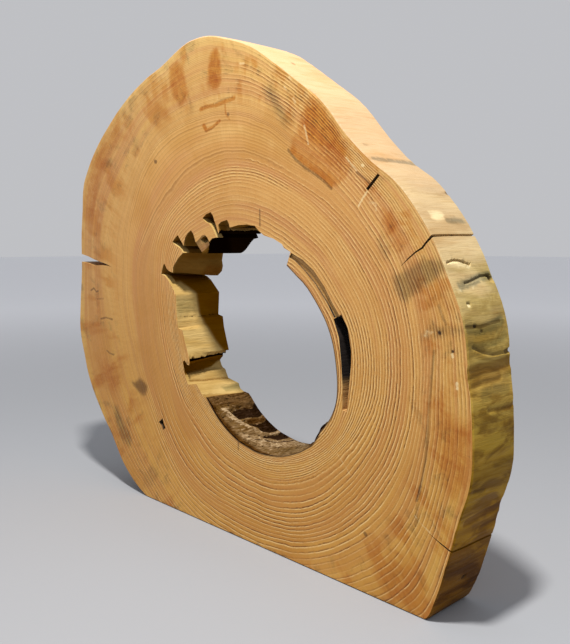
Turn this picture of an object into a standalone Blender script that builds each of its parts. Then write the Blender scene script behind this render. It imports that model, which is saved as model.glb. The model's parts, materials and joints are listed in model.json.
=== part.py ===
"""A thick slice of a hollow tree trunk, standing on its flat sawn base.

Units are metres and +Z is up. The origin is the middle of the base, +X runs along
the width, and the sanded front face looks along -Y. The whole slice is one piece of
wood: the bark is off, the heart has rotted out and left a broken hole right through,
and drying cracks run in from the rim. The grain runs straight through from face to
face, so the cracks keep one outline over the whole thickness, and the hole's broken
edge changes only a little from the front to the back.
"""

import math

import bmesh
import bpy
from mathutils import Vector, noise

# Driving dimensions
MM = 0.001
FACE_WIDTH = 466 * MM
FACE_HEIGHT = 400 * MM
THICKNESS = 45 * MM
EDGE_ROUND = 0.8 * MM
RIM_SWELL = 1.9 * MM
RIM_SWELL_CHANGE = 0.25
RIM_WAVE = 34 * MM
RIM_FADE = 20 * MM
RIM_BANDS = 6
HOLE_BANDS = 6
SMOOTH_STEPS = 4
SPLINTER_START = 3 * MM
RING_INSET = 0.4 * MM
CUT_BEYOND = 4 * MM
GROOVE_DEPTH = 1.6 * MM
SLIT_DEPTH = 14 * MM
KNOT_PIT_DEPTH = 16 * MM
POCKET_DEPTH = 15 * MM

# The outlines below are drawn in millimetres as (x, z) on the front face
DRAWN_WIDTH = 466.8
DRAWN_HEIGHT = 400.0

# Rim, from the foot on the left over the top to the foot on the right
BARK_LINE = [
    (-116.0, 0.0), (-127.0, 4.6), (-141.0, 12.6), (-156.0, 24.6), (-175.0, 47.9),
    (-193.0, 66.7), (-217.0, 99.3), (-226.0, 123.0), (-233.0, 147.6), (-231.5, 172.7),
    (-226.5, 209.9), (-225.0, 246.4), (-221.5, 270.4), (-218.0, 294.0), (-211.3, 305.4),
    (-192.5, 327.1), (-167.2, 347.0), (-138.1, 365.2), (-101.5, 380.6), (-78.3, 386.9),
    (-60.6, 393.6), (-42.0, 399.0), (-27.6, 400.0), (-12.1, 398.7), (4.6, 394.2),
    (37.4, 381.9), (58.9, 368.6), (85.5, 350.5), (110.8, 332.1), (131.9, 309.0),
    (154.6, 289.0), (173.2, 275.9), (189.9, 257.6), (203.6, 237.6), (213.3, 218.1),
    (224.2, 192.8), (229.1, 162.1), (233.0, 123.4), (232.3, 94.6), (225.6, 71.5),
    (217.4, 40.3), (208.6, 12.1), (203.6, 1.4), (201.5, 0.0),
]

# Broken edge of the hole on the front face, clockwise from the notch on its left
NOTCH_LEFT = [
    (-84.0, 210.0), (-80.2, 218.3), (-78.6, 219.2), (-75.5, 215.3), (-72.0, 213.0),
    (-66.5, 211.8), (-65.8, 216.5), (-62.0, 220.6), (-57.0, 225.2), (-50.8, 229.0),
]
NOTCH_UPPER_LEFT = [
    (-53.5, 231.8), (-58.0, 234.2), (-62.0, 235.6), (-66.5, 238.0), (-62.5, 241.2),
    (-58.2, 243.9), (-54.8, 240.3), (-51.5, 236.6), (-50.0, 234.8),
]
NOTCH_ROUND = [
    (-47.6, 241.8), (-44.0, 245.2), (-39.4, 247.8), (-36.2, 245.0), (-34.2, 240.6),
    (-33.0, 237.8),
]
NOTCH_SMALL = [
    (-28.2, 240.4), (-24.5, 243.2), (-20.5, 244.0), (-17.2, 241.6), (-14.6, 238.2),
    (-11.0, 240.9),
]
NOTCH_LONG = [
    (-5.4, 241.6), (-8.6, 246.6), (-11.5, 250.4), (-15.0, 252.9), (-19.5, 254.3),
    (-23.4, 257.4), (-18.5, 260.4), (-12.6, 262.0), (-9.6, 259.0), (-8.0, 255.3),
    (-5.8, 251.0), (-2.9, 244.8),
]
NOTCH_TOP = [
    (-1.9, 246.0), (-3.0, 251.6), (0.5, 253.9), (8.2, 255.4), (10.2, 252.6),
    (11.4, 249.3),
]
EDGE_TOP = [
    (22.0, 251.0), (32.0, 251.2), (41.0, 250.0), (45.0, 246.8), (51.0, 242.8),
    (62.0, 240.2), (70.6, 236.4), (72.8, 233.6), (79.6, 230.8), (75.6, 221.0),
    (86.0, 213.4), (91.8, 209.5),
]
EDGE_RIGHT = [
    (97.0, 205.0), (106.0, 194.8), (115.0, 182.2), (121.0, 168.5), (124.2, 154.0),
    (125.6, 140.0), (124.6, 128.0), (120.4, 117.6), (115.0, 110.2), (109.6, 104.6),
]
EDGE_FOOT = [(107.4, 100.2), (101.5, 93.0)]
EDGE_BOTTOM = [
    (89.6, 85.8), (74.2, 79.6), (58.8, 76.5), (43.5, 75.6), (30.0, 77.8),
    (19.0, 80.5), (6.0, 86.6), (-6.0, 94.6), (-16.0, 104.3),
]
EDGE_LOWER_LEFT = [
    (-20.5, 108.9), (-25.8, 109.5), (-30.2, 114.2), (-34.6, 118.6), (-46.6, 116.3),
    (-49.3, 121.4), (-52.6, 131.0), (-53.3, 135.6), (-51.0, 137.0), (-47.2, 133.6),
    (-44.5, 133.3),
]
EDGE_LEFT = [
    (-43.8, 136.0), (-45.7, 142.9), (-50.4, 153.6), (-53.6, 162.8), (-59.8, 164.2),
    (-60.6, 169.5), (-61.8, 180.0), (-62.4, 192.6), (-68.0, 199.4), (-73.5, 205.0),
    (-78.5, 208.6),
]

# The same stretches on the back face, point for point, where they differ
NOTCH_LEFT_BACK = [
    (-80.5, 208.2), (-79.6, 209.6), (-78.0, 210.6), (-75.5, 210.2), (-72.0, 209.2),
    (-60.6, 208.2), (-54.6, 212.4), (-53.1, 217.0), (-54.2, 222.2), (-52.6, 228.0),
]
SPLINTER_BACK = [
    (-28.2, 228.6), (-25.2, 229.6), (-22.0, 231.4), (-18.0, 234.8), (-14.6, 238.0),
    (-11.0, 240.6),
]
EDGE_LOWER_LEFT_BACK = [
    (-18.9, 106.6), (-26.0, 107.4), (-30.2, 109.2), (-32.4, 113.6), (-46.9, 116.6),
    (-50.0, 122.0), (-53.2, 128.0), (-54.8, 131.6), (-52.4, 134.0), (-50.8, 135.2),
    (-50.2, 138.6),
]
EDGE_LEFT_BACK = [
    (-49.6, 141.4), (-45.8, 142.2), (-49.2, 152.6), (-52.4, 162.0), (-53.2, 167.6),
    (-54.0, 171.8), (-60.2, 173.2), (-58.8, 193.2), (-64.8, 198.8), (-70.6, 204.0),
    (-76.0, 206.8),
]

# Each stretch: front points, back points, whether it is smooth, whether its back
# shape already starts just behind the front face
HOLE_EDGE = [
    (NOTCH_LEFT, NOTCH_LEFT_BACK, False, False),
    (NOTCH_UPPER_LEFT, NOTCH_UPPER_LEFT, False, False),
    (NOTCH_ROUND, NOTCH_ROUND, False, False),
    (NOTCH_SMALL, SPLINTER_BACK, False, True),
    (NOTCH_LONG, NOTCH_LONG, False, False),
    (NOTCH_TOP, NOTCH_TOP, False, False),
    (EDGE_TOP, EDGE_TOP, False, False),
    (EDGE_RIGHT, EDGE_RIGHT, True, False),
    (EDGE_FOOT, EDGE_FOOT, False, False),
    (EDGE_BOTTOM, EDGE_BOTTOM, True, False),
    (EDGE_LOWER_LEFT, EDGE_LOWER_LEFT_BACK, False, False),
    (EDGE_LEFT, EDGE_LEFT_BACK, False, False),
]

# Gap between two growth rings that have come apart, right of the hole
RING_GAP = [
    (122.0, 185.5), (129.0, 189.2), (135.0, 180.0), (138.2, 165.0), (138.2, 156.0),
    (136.6, 140.0), (134.6, 122.6), (130.6, 123.6), (130.6, 140.0), (129.4, 155.0),
    (127.0, 173.0),
]

# Shallow groove where splinters have left the same ring, above the gap
RING_GROOVE = [
    (80.6, 230.0), (92.0, 225.4), (103.0, 218.0), (113.0, 207.4), (121.0, 196.0),
    (127.5, 188.0), (122.6, 186.4), (116.0, 195.6), (104.0, 209.0), (94.0, 217.4),
    (84.0, 224.6), (78.2, 227.0),
]

# Drying cracks as closed wedges that start outside the rim
CRACK_LEFT = [
    (-240.0, 218.4), (-224.0, 218.4), (-212.0, 217.0), (-200.0, 215.2), (-188.0, 215.7),
    (-177.0, 215.5), (-167.0, 214.3), (-178.0, 217.2), (-190.0, 219.2), (-200.0, 221.0),
    (-212.0, 224.0), (-224.0, 226.0), (-240.0, 227.4),
]
CRACK_RIGHT = [
    (212.0, 250.0), (200.4, 241.9), (196.0, 237.4), (193.6, 234.6), (189.0, 232.0),
    (184.0, 228.2), (177.5, 222.2), (184.6, 227.6), (189.6, 231.2), (194.6, 233.7),
    (197.0, 236.5), (201.6, 240.7), (214.0, 248.0),
]
CRACK_FOOT = [
    (232.0, 46.6), (218.0, 51.7), (211.0, 54.4), (203.0, 57.6), (211.4, 53.4),
    (218.4, 50.4), (231.0, 44.8),
]

# Short deep slit and a pit left by a fallen knot, both open at the front only
SLIT = [(149.4, 272.0), (158.8, 281.0), (160.6, 279.6), (151.0, 270.4)]
KNOT_PIT = [
    (-91.8, 75.4), (-85.8, 80.2), (-84.0, 75.4), (-81.4, 71.8), (-85.2, 69.4),
    (-87.0, 73.0),
]

# Pocket above the long splinter at the hole's upper left, open at the front
SMALL_POCKET = [
    (-27.3, 240.1), (-24.2, 242.3), (-20.7, 243.1), (-18.3, 241.2), (-18.7, 239.1),
    (-22.3, 236.9), (-25.9, 238.3),
]

WOOD_COLOUR = (0.63, 0.36, 0.15, 1.0)
WOOD_ROUGHNESS = 0.62


def clear_scene():
    for old in list(bpy.data.objects):
        bpy.data.objects.remove(old, do_unlink=True)


def new_collection(name):
    made = bpy.data.collections.new(name)
    bpy.context.scene.collection.children.link(made)
    return made


def drawn(point):
    """Turn a drawn point into metres on the slice."""
    x, z = point
    return x * FACE_WIDTH / DRAWN_WIDTH, z * FACE_HEIGHT / DRAWN_HEIGHT


def outline_curve(name, runs, half_depth, bevel=0.0):
    """Make a filled flat curve from runs of (points, smooth), upright in the XZ plane."""
    data = bpy.data.curves.new(name, "CURVE")
    data.dimensions = "2D"
    data.fill_mode = "BOTH"
    data.resolution_u = SMOOTH_STEPS
    data.render_resolution_u = SMOOTH_STEPS
    data.extrude = half_depth - bevel
    data.bevel_depth = bevel
    data.bevel_resolution = 0
    data.offset = -bevel
    points = [(drawn(point), smooth) for run, smooth in runs for point in run]
    spline = data.splines.new("BEZIER")
    spline.bezier_points.add(len(points) - 1)
    spline.use_cyclic_u = True
    for knot, ((x, z), smooth) in zip(spline.bezier_points, points):
        knot.co = (x, z, 0.0)
        handle = "AUTO" if smooth else "VECTOR"
        knot.handle_left_type = handle
        knot.handle_right_type = handle
    curve = bpy.data.objects.new(name, data)
    curve.rotation_euler = (math.pi / 2, 0.0, 0.0)
    return curve


def curve_to_mesh(curve, collection):
    """Replace a curve with a closed mesh object of the same name."""
    name = curve.name
    collection.objects.link(curve)
    bpy.context.view_layer.update()
    graph = bpy.context.evaluated_depsgraph_get()
    mesh = bpy.data.meshes.new_from_object(curve.evaluated_get(graph))
    matrix = curve.matrix_world.copy()
    bpy.data.objects.remove(curve, do_unlink=True)
    shell = bmesh.new()
    shell.from_mesh(mesh)
    bmesh.ops.remove_doubles(shell, verts=shell.verts, dist=0.01 * MM)
    bmesh.ops.recalc_face_normals(shell, faces=shell.faces)
    shell.to_mesh(mesh)
    shell.free()
    made = bpy.data.objects.new(name, mesh)
    made.matrix_world = matrix
    collection.objects.link(made)
    return made


def rim_swell(x, y, z):
    """Return how far the rim swells at a place, nothing at the front face or the base."""
    behind = 0.5 + y / THICKNESS
    rise = 1.0 - (1.0 - behind) ** 3
    above_base = min(1.0, z / RIM_FADE)
    wave = noise.noise(Vector((x, y, z)) / RIM_WAVE)
    share = 1.0 - RIM_SWELL_CHANGE + 2.0 * RIM_SWELL_CHANGE * wave
    return RIM_SWELL * rise * above_base * share


def shape_rim(body):
    """Band the rim from face to face and let its bare wood swell a little."""
    shell = bmesh.new()
    shell.from_mesh(body.data)
    shell.transform(body.matrix_world)
    body.matrix_world.identity()
    for band in range(1, RIM_BANDS):
        y = THICKNESS * (band / RIM_BANDS - 0.5)
        every = shell.verts[:] + shell.edges[:] + shell.faces[:]
        bmesh.ops.bisect_plane(shell, geom=every, plane_co=(0, y, 0), plane_no=(0, 1, 0))
    shell.normal_update()
    places = []
    for vertex in shell.verts:
        outward = Vector((vertex.normal.x, 0.0, vertex.normal.z))
        if outward.length > 0.0:
            outward.normalize()
        places.append(vertex.co + outward * rim_swell(*vertex.co))
    for vertex, place in zip(shell.verts, places):
        vertex.co = place
    shell.to_mesh(body.data)
    shell.free()


def rounded(points, steps):
    """Run a smooth line through the points, with the steps given between each two."""
    line = []
    for index in range(len(points) - 1):
        before = points[max(index - 1, 0)]
        start = points[index]
        end = points[index + 1]
        after = points[min(index + 2, len(points) - 1)]
        for step in range(steps):
            t = step / steps
            line.append(tuple(
                0.5 * (2 * b + (c - a) * t + (2 * a - 5 * b + 4 * c - d) * t ** 2
                       + (3 * b - a - 3 * c + d) * t ** 3)
                for a, b, c, d in zip(before, start, end, after)
            ))
    line.append(points[-1])
    return line


def hole_ring(y):
    """Return the hole's outline at a depth, between its front and its back shape."""
    depth = y + THICKNESS / 2 - RING_INSET
    whole = min(1.0, max(0.0, depth / (THICKNESS - 2 * RING_INSET)))
    ring = []
    for front, back, smooth, early in HOLE_EDGE:
        if early:
            share = min(1.0, max(0.0, depth / SPLINTER_START))
        else:
            share = whole * whole * (3.0 - 2.0 * whole)
        if smooth:
            front = rounded(front, SMOOTH_STEPS)
            back = rounded(back, SMOOTH_STEPS)
        for near, far in zip(front, back):
            x0, z0 = drawn(near)
            x1, z1 = drawn(far)
            ring.append(Vector((x0 + (x1 - x0) * share, y, z0 + (z1 - z0) * share)))
    return ring


def hole_cutter(collection):
    """Loft the hole's rings from in front of the slice to behind it.

    No ring lies in the plane of a face: the first and last inner ones are set in a
    little, so the cut leaves no edges a hair's breadth apart.
    """
    first = RING_INSET - THICKNESS / 2
    reach = THICKNESS - 2 * RING_INSET
    bands = [first + reach * band / HOLE_BANDS for band in range(HOLE_BANDS + 1)]
    bands.insert(1, first + SPLINTER_START)
    bands = [bands[0] - CUT_BEYOND] + bands + [bands[-1] + CUT_BEYOND]
    shell = bmesh.new()
    rings = [[shell.verts.new(place) for place in hole_ring(y)] for y in bands]
    count = len(rings[0])
    walls = []
    for near, far in zip(rings, rings[1:]):
        for index in range(count):
            after = (index + 1) % count
            wall = shell.faces.new((near[index], near[after], far[after], far[index]))
            walls.append(wall)
    shell.faces.new(rings[0])
    shell.faces.new(rings[-1])
    bmesh.ops.triangulate(shell, faces=walls[count:-count])
    bmesh.ops.recalc_face_normals(shell, faces=shell.faces)
    mesh = bpy.data.meshes.new("hole_cutter")
    shell.to_mesh(mesh)
    shell.free()
    tool = bpy.data.objects.new("hole_cutter", mesh)
    collection.objects.link(tool)
    return as_tool(tool)


def as_tool(tool):
    tool.hide_render = True
    tool.display_type = "WIRE"
    return tool


def cutter(name, runs, collection, depth=None):
    """Make a cutter through the slice, or one that goes in from the front to a depth."""
    if depth is None:
        half_depth = THICKNESS / 2 + CUT_BEYOND
        middle = 0.0
    else:
        half_depth = (depth + CUT_BEYOND) / 2
        middle = -THICKNESS / 2 + (depth - CUT_BEYOND) / 2
    tool = curve_to_mesh(outline_curve(name, runs, half_depth), collection)
    tool.location.y = middle
    return as_tool(tool)


def cut(body, tool):
    taken = body.modifiers.new(tool.name, "BOOLEAN")
    taken.operation = "DIFFERENCE"
    taken.solver = "EXACT"
    taken.object = tool


def wood_material():
    wood = bpy.data.materials.new("weathered_wood")
    wood.use_nodes = True
    shader = wood.node_tree.nodes["Principled BSDF"]
    shader.inputs["Base Color"].default_value = WOOD_COLOUR
    shader.inputs["Roughness"].default_value = WOOD_ROUGHNESS
    shader.inputs["Metallic"].default_value = 0.0
    wood.diffuse_color = WOOD_COLOUR
    return wood


def slice_body(parts):
    """The sawn slice before anything is cut out of it."""
    foot_left, rim, foot_right = BARK_LINE[:1], BARK_LINE[1:-1], BARK_LINE[-1:]
    runs = [(foot_left, False), (rim, True), (foot_right, False)]
    curve = outline_curve("wood_slice", runs, THICKNESS / 2, EDGE_ROUND)
    body = curve_to_mesh(curve, parts)
    shape_rim(body)
    body.data.materials.clear()
    body.data.materials.append(wood_material())
    return body


def cut_slice(body, cutters):
    cut(body, cutter("ring_gap_cutter", [(RING_GAP, False)], cutters))
    cut(body, cutter("ring_groove_cutter", [(RING_GROOVE, False)], cutters, GROOVE_DEPTH))
    cut(body, cutter("crack_left_cutter", [(CRACK_LEFT, False)], cutters))
    cut(body, cutter("crack_right_cutter", [(CRACK_RIGHT, False)], cutters))
    cut(body, cutter("crack_foot_cutter", [(CRACK_FOOT, False)], cutters))
    cut(body, cutter("slit_cutter", [(SLIT, False)], cutters, SLIT_DEPTH))
    cut(body, cutter("knot_pit_cutter", [(KNOT_PIT, False)], cutters, KNOT_PIT_DEPTH))
    cut(body, hole_cutter(cutters))
    cut(body, cutter("small_notch_cutter", [(SMALL_POCKET, False)], cutters, POCKET_DEPTH))


def main():
    clear_scene()
    parts = new_collection("wood slice")
    cutters = new_collection("cutters")
    body = slice_body(parts)
    cut_slice(body, cutters)
    body.data.shade_smooth()
    body.data.set_sharp_from_angle(angle=math.radians(35))


main()
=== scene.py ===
"""Looks of the wood slice, a sawn slice of a hollow trunk that stands on its flat base.

Units are metres and +Z is up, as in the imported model. The tables are in millimetres. Their
shapes are flat lists of x and z in turn, on the front face, which lies in the plane FRONT
and looks along -Y. Where a table lies elsewhere, the comment above it names the two numbers.
"""

import json
import math

import bmesh
import bpy
import numpy as np
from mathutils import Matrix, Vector, geometry, kdtree, noise

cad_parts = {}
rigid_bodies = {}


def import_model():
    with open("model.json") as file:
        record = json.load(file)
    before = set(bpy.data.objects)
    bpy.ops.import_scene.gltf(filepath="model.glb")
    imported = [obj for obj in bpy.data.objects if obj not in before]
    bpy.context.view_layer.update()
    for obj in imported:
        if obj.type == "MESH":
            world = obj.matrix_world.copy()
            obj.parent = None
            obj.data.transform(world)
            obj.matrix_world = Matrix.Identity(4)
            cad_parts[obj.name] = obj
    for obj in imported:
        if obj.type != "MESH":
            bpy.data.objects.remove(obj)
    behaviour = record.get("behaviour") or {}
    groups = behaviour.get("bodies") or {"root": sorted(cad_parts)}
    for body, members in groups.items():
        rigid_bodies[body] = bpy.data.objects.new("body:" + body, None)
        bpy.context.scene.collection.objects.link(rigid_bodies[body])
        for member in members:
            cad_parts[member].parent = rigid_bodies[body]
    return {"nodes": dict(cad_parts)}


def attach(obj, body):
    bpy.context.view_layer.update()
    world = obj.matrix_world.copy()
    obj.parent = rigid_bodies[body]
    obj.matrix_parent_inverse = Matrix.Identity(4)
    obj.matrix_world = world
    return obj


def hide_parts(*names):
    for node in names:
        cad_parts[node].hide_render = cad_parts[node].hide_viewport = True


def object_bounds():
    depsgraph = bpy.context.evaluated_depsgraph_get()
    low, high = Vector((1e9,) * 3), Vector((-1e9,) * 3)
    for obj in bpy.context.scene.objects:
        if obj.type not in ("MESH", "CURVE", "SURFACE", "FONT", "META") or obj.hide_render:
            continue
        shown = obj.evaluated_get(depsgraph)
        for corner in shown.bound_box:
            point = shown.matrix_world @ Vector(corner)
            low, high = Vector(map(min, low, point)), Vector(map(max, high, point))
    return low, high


for old in list(bpy.data.objects):
    bpy.data.objects.remove(old, do_unlink=True)
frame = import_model()
CAD_LOW, CAD_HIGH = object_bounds()

MM = 0.001
FRONT = -0.0225
BACK = 0.0225
HALF_MM = 22.5

# Camera of the photograph
CAMERA_PLACE = (0.45716, -0.39062, 0.23682)
CAMERA_AZIMUTH = 46.16
CAMERA_DOWN = 6.13
CAMERA_LENS = 40.86
SENSOR = 36.0

# Lamp, placed from the edges of the shadows in the photograph
LAMP_PLACE = (0.236, -0.256, 1.022)
LAMP_AIM = (0.0, 0.0, 0.18)
LAMP_SIZE = 0.1
LAMP_POWER = 12.2

FLOOR_HALF = 12.0

# Mesh spacing
WALL_STEP = 3.0 * MM
FRONT_STEP = 3.1 * MM
BACK_STEP = 4.5 * MM
FINE_STEP = 0.7 * MM

# Growth rings as closed curves round the pith, each after its count; the last is the rim
PITH = (38.0, 165.0)
RINGS = [
    (36, [125.6,140, 124.2,154, 121,168.5, 115,182, 106,195, 97,205, 86,213, 70,222, 50,228,
        20,232, -10,230, -35,222, -50,205, -52,180, -50,160, -45,140, -35,123, -15,106, 5,91,
        30,80, 52,77.5, 74,81, 90,88, 108,102, 120,117]),
    (41.4, [138.2,160, 136.6,140, 134,122.6, 127,109, 116,97, 100,85, 78,76, 52,73, 28,75, 8,81,
        -10,90, -25,102, -40,117, -51,133, -57,150, -61,170, -63,190, -64,208, -58,224, -46,236,
        -28,245, -8,250, 20,252, 45,248, 62,241, 80.6,231, 92,225.4, 103,218, 113,207.4, 121,197,
        130,186, 135,176]),
    (50.8, [160.5,160, 160,140, 156.7,130, 150,118, 144,109, 130,93, 112,77, 97,67.5, 80,60.5,
        60,56.5, 40,56, 20,60, 0,66.5, -23,78, -40,91, -52,103, -60,114, -67,127, -73,141,
        -78,157, -81,175, -83,195, -83,215, -79,235, -71,250, -60,259.5, -48,266.7, -35,273,
        -20,278, -6.7,281.5, 6.7,283.3, 20,283.5, 33,282, 46.7,278.7, 60,274.5, 73,268.5, 88,260,
        107,247, 120,236.7, 131,225, 140,213, 147,203, 153,192, 158,177]),
    (55, [170.5,155, 169,140, 166,125, 161,110, 152,95, 140,80, 126,66, 112,54.5, 97,45.5,
        80,39.5, 60,36.5, 40,37, 20,39, 0,43, -13,47, -27,53, -40,63, -52,74, -63,87, -72,103,
        -80,121, -85.5,134, -90,149, -93,165, -95.5,182, -97.5,205, -96,228, -90,244, -80,256,
        -66,268, -50,278, -32,286, -10,291.5, 10,293.5, 33,291.5, 52,287, 72,279, 90,270, 107,259,
        124,246, 138,232, 150,216, 160,199, 166.5,184, 169.8,170]),
    (59.3, [180.8,150, 178.5,132, 174.5,115, 168,99, 158,82, 145,66, 130,51.5, 116,40.5, 100,31.5,
        82,25.5, 60,22.5, 35,23, 10,25, -12,28, -33,33.5, -50,42, -64,53, -76,66, -86,80, -95,94,
        -103,108, -109,122, -112.5,138, -114.5,160, -118,178, -121.7,200, -119.5,218, -112,232.5,
        -100,246.5, -88,258.5, -76,269, -64,278.5, -52,286.5, -40,292.5, -20,299.5, 0,303,
        20,302.5, 40,298.5, 60,292, 78,284.5, 95,276, 110,268, 125,258, 139,246.5, 152,233,
        163,218, 172,201, 178,184, 180.5,167]),
    (63.5, [191,150, 190,133, 187,115, 181,97, 172,80, 160,63, 146,48, 130,35, 112,24, 92,16,
        68,11, 40,9, 15,10, -10,13.5, -30,18.5, -47,26, -61,35, -73,46, -83,58, -92,70, -100,82,
        -107,93.5, -115,106, -123,119, -130,139, -137,158, -141.5,178, -142,215, -141,232,
        -138.5,246, -134,262, -127,278, -118,293, -107,307, -95,317, -80,325, -63,330.5,
        -47,333.5, -23,336, 0,336.5, 20,334, 40,328, 60,319, 78,309, 95,299.5, 110,289.5, 125,278,
        138,266.5, 151,252.5, 163,237, 174,220, 182,203, 187.5,185, 190.3,167]),
    (68.5, [202,153, 201,137, 200.5,120, 199,104, 195.5,88, 190,71, 180,55, 166,38, 148,21, 128,8,
        105,-2, 80,-9, 50,-12, 20,-11, -10,-7, -35,0, -55,8, -72,18, -87,30, -100,43, -112,57,
        -122,70, -131,84, -139,98, -147,113, -153,127, -158,140, -163,154, -168,168, -173,184,
        -177.5,200, -178.5,220, -177,237, -173,250, -168,260.5, -160,272, -150,284, -140,295.5,
        -130,306, -120,316, -111,326, -102,334.5, -90,340.5, -73,346.5, -57,351, -40,353.5,
        -25,354.5, 0,355, 20,353, 40,347, 60,337.5, 80,326, 98,314, 113,303, 127,291.5, 140,281,
        153,269, 166,255, 177,240, 187,222, 195.5,204, 201,186, 203.5,168]),
    (80, [-116,-4, -127,4.6, -141,12.6, -156,24.6, -175,47.9, -193,66.7, -217,99.3, -226,123,
        -233,147.6, -231.5,172.7, -226.5,209.9, -225,246.4, -221.5,270.4, -218,294, -211.3,305.4,
        -192.5,327.1, -167.2,347, -138.1,365.2, -101.5,380.6, -78.3,386.9, -60.6,393.6, -42,399,
        -27.6,400, -12.1,398.7, 4.6,394.2, 37.4,381.9, 58.9,368.6, 85.5,350.5, 110.8,332.1,
        131.9,309, 154.6,289, 173.2,275.9, 189.9,257.6, 203.6,237.6, 213.3,218.1, 224.2,192.8,
        229.1,162.1, 233,123.4, 232.3,94.6, 225.6,71.5, 217.4,40.3, 208.6,12.1, 203.6,1.4,
        186,-16, 160,-30, 120,-41, 60,-48, 0,-46, -60,-32]),
]
RIM_COUNT = 80
ANGLES = 1440

# Parts of the surface, and the count beyond which the hole's right side is the gap's wall
FACE, RIM, INNER, HOLE, BASE = range(5)
GAP_RING = 37.3

# Mesh net of the faces: height of a row for a step of 1, and the seed of its unevenness
ROW = 0.866
SEED = 7

# Tolerances in metres, depth in millimetres to which flat parts count as face, sharp edges
ON_FACE = 1e-5
SAME_POINT = 2e-6
FACE_DEPTH = 3.0
SHARP = math.radians(38)


def make_camera():
    data = bpy.data.cameras.new("camera")
    data.lens = CAMERA_LENS
    data.sensor_width = SENSOR
    data.clip_start = 0.01
    camera = bpy.data.objects.new("camera", data)
    camera.location = CAMERA_PLACE
    camera.rotation_euler = (
        math.radians(90.0 - CAMERA_DOWN), 0.0, math.radians(CAMERA_AZIMUTH),
    )
    bpy.context.scene.collection.objects.link(camera)
    bpy.context.scene.camera = camera


def add_area(name, place, size, power, colour):
    data = bpy.data.lights.new(name, "AREA")
    data.shape = "DISK"
    data.size = size
    data.energy = power
    data.color = colour
    light = bpy.data.objects.new(name, data)
    light.location = place
    aim = Vector(LAMP_AIM) - Vector(place)
    light.rotation_euler = aim.to_track_quat("-Z", "Y").to_euler()
    bpy.context.scene.collection.objects.link(light)


def make_stage():
    mesh = bpy.data.meshes.new("floor")
    half = FLOOR_HALF
    mesh.from_pydata(
        [(-half, -half, 0.0), (half, -half, 0.0), (half, half, 0.0), (-half, half, 0.0)],
        [], [(0, 1, 2, 3)],
    )
    floor = bpy.data.objects.new("floor", mesh)
    bpy.context.scene.collection.objects.link(floor)
    made, tree, shader = new_material("floor")
    place = put(tree, "ShaderNodeTexCoord").outputs["Object"]
    away = put(tree, "ShaderNodeVectorMath", {0: place}, operation="LENGTH").outputs["Value"]
    # painted shade: the floor is darker near the slice and pale far off, which evens out the
    # lamp's pool of light and deepens the slice's shadow
    shade = blend(
        tree, between(tree, away, 0.2, 2.4), (0.36, 0.37, 0.39, 1.0), (0.9, 0.91, 0.94, 1.0),
    )
    tree.links.new(shade, shader.inputs["Base Color"])
    shader.inputs["Roughness"].default_value = 0.95
    shader.inputs["Specular IOR Level"].default_value = 0.1
    mesh.materials.append(made)
    world = bpy.data.worlds.new("studio")
    world.use_nodes = True
    back = world.node_tree.nodes["Background"]
    back.inputs["Color"].default_value = (0.95, 0.96, 1.0, 1.0)
    back.inputs["Strength"].default_value = 0.55
    bpy.context.scene.world = world
    add_area("key", LAMP_PLACE, LAMP_SIZE, LAMP_POWER, (1.0, 0.975, 0.94))
    bpy.context.scene.view_settings.view_transform = "Standard"


# Growth rings

def as_points(numbers):
    """Rows of two numbers from a flat list."""
    return np.array(numbers, float).reshape(-1, 2)


def polar_radius(points, smooth):
    """Distance from the pith at evenly spaced angles, for one closed curve."""
    p = as_points(points) - np.array(PITH)
    angle = np.arctan2(p[:, 1], p[:, 0])
    radius = np.hypot(p[:, 0], p[:, 1])
    order = np.argsort(angle)
    angle, radius = angle[order], radius[order]
    angle = np.concatenate([angle - 2 * np.pi, angle, angle + 2 * np.pi])
    radius = np.tile(radius, 3)
    at = np.linspace(-np.pi, np.pi, ANGLES, endpoint=False)
    found = np.interp(at, angle, radius)
    if smooth:
        k = np.arange(-3 * smooth, 3 * smooth + 1)
        weight = np.exp(-0.5 * (k / smooth) ** 2)
        weight /= weight.sum()
        wide = np.concatenate([found[-3 * smooth:], found, found[:3 * smooth]])
        found = np.convolve(wide, weight, mode="valid")
    return found


def ring_table():
    rows = [np.zeros(ANGLES)]
    counts = [0.0]
    for count, points in RINGS:
        rows.append(polar_radius(points, 8 if count < RIM_COUNT else 3))
        counts.append(count)
    return np.array(rows), np.array(counts)


def ring_count(x, z, rows, counts):
    """Ring count at points given in millimetres, and the width of the ring there."""
    dx, dz = x - PITH[0], z - PITH[1]
    at = (np.arctan2(dz, dx) + np.pi) / (2 * np.pi) * ANGLES
    low = np.floor(at).astype(int) % ANGLES
    high = (low + 1) % ANGLES
    share = at - np.floor(at)
    radii = rows[:, low] * (1 - share) + rows[:, high] * share
    r = np.hypot(dx, dz)
    out = np.zeros_like(r)
    width = np.ones_like(r)
    for i in range(1, len(counts)):
        a, b = radii[i - 1], radii[i]
        inside = r >= a
        more = counts[i] - counts[i - 1]
        step = counts[i - 1] + (r - a) / np.maximum(b - a, 1e-6) * more
        out = np.where(inside, step, out)
        width = np.where(inside, (b - a) / more, width)
    return out, width


def soft_width(x, z, rows, counts):
    """Ring width in millimetres, evened out over a few rings."""
    total = np.zeros_like(x)
    dx, dz = x - PITH[0], z - PITH[1]
    r = np.maximum(np.hypot(dx, dz), 1.0)
    steps = (-9.0, -6.0, -3.0, 0.0, 3.0, 6.0, 9.0)
    for step in steps:
        k = 1.0 + step / r
        _, width = ring_count(PITH[0] + dx * k, PITH[1] + dz * k, rows, counts)
        total += 1.0 / np.maximum(width, 0.5)
    return len(steps) / total


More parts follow.
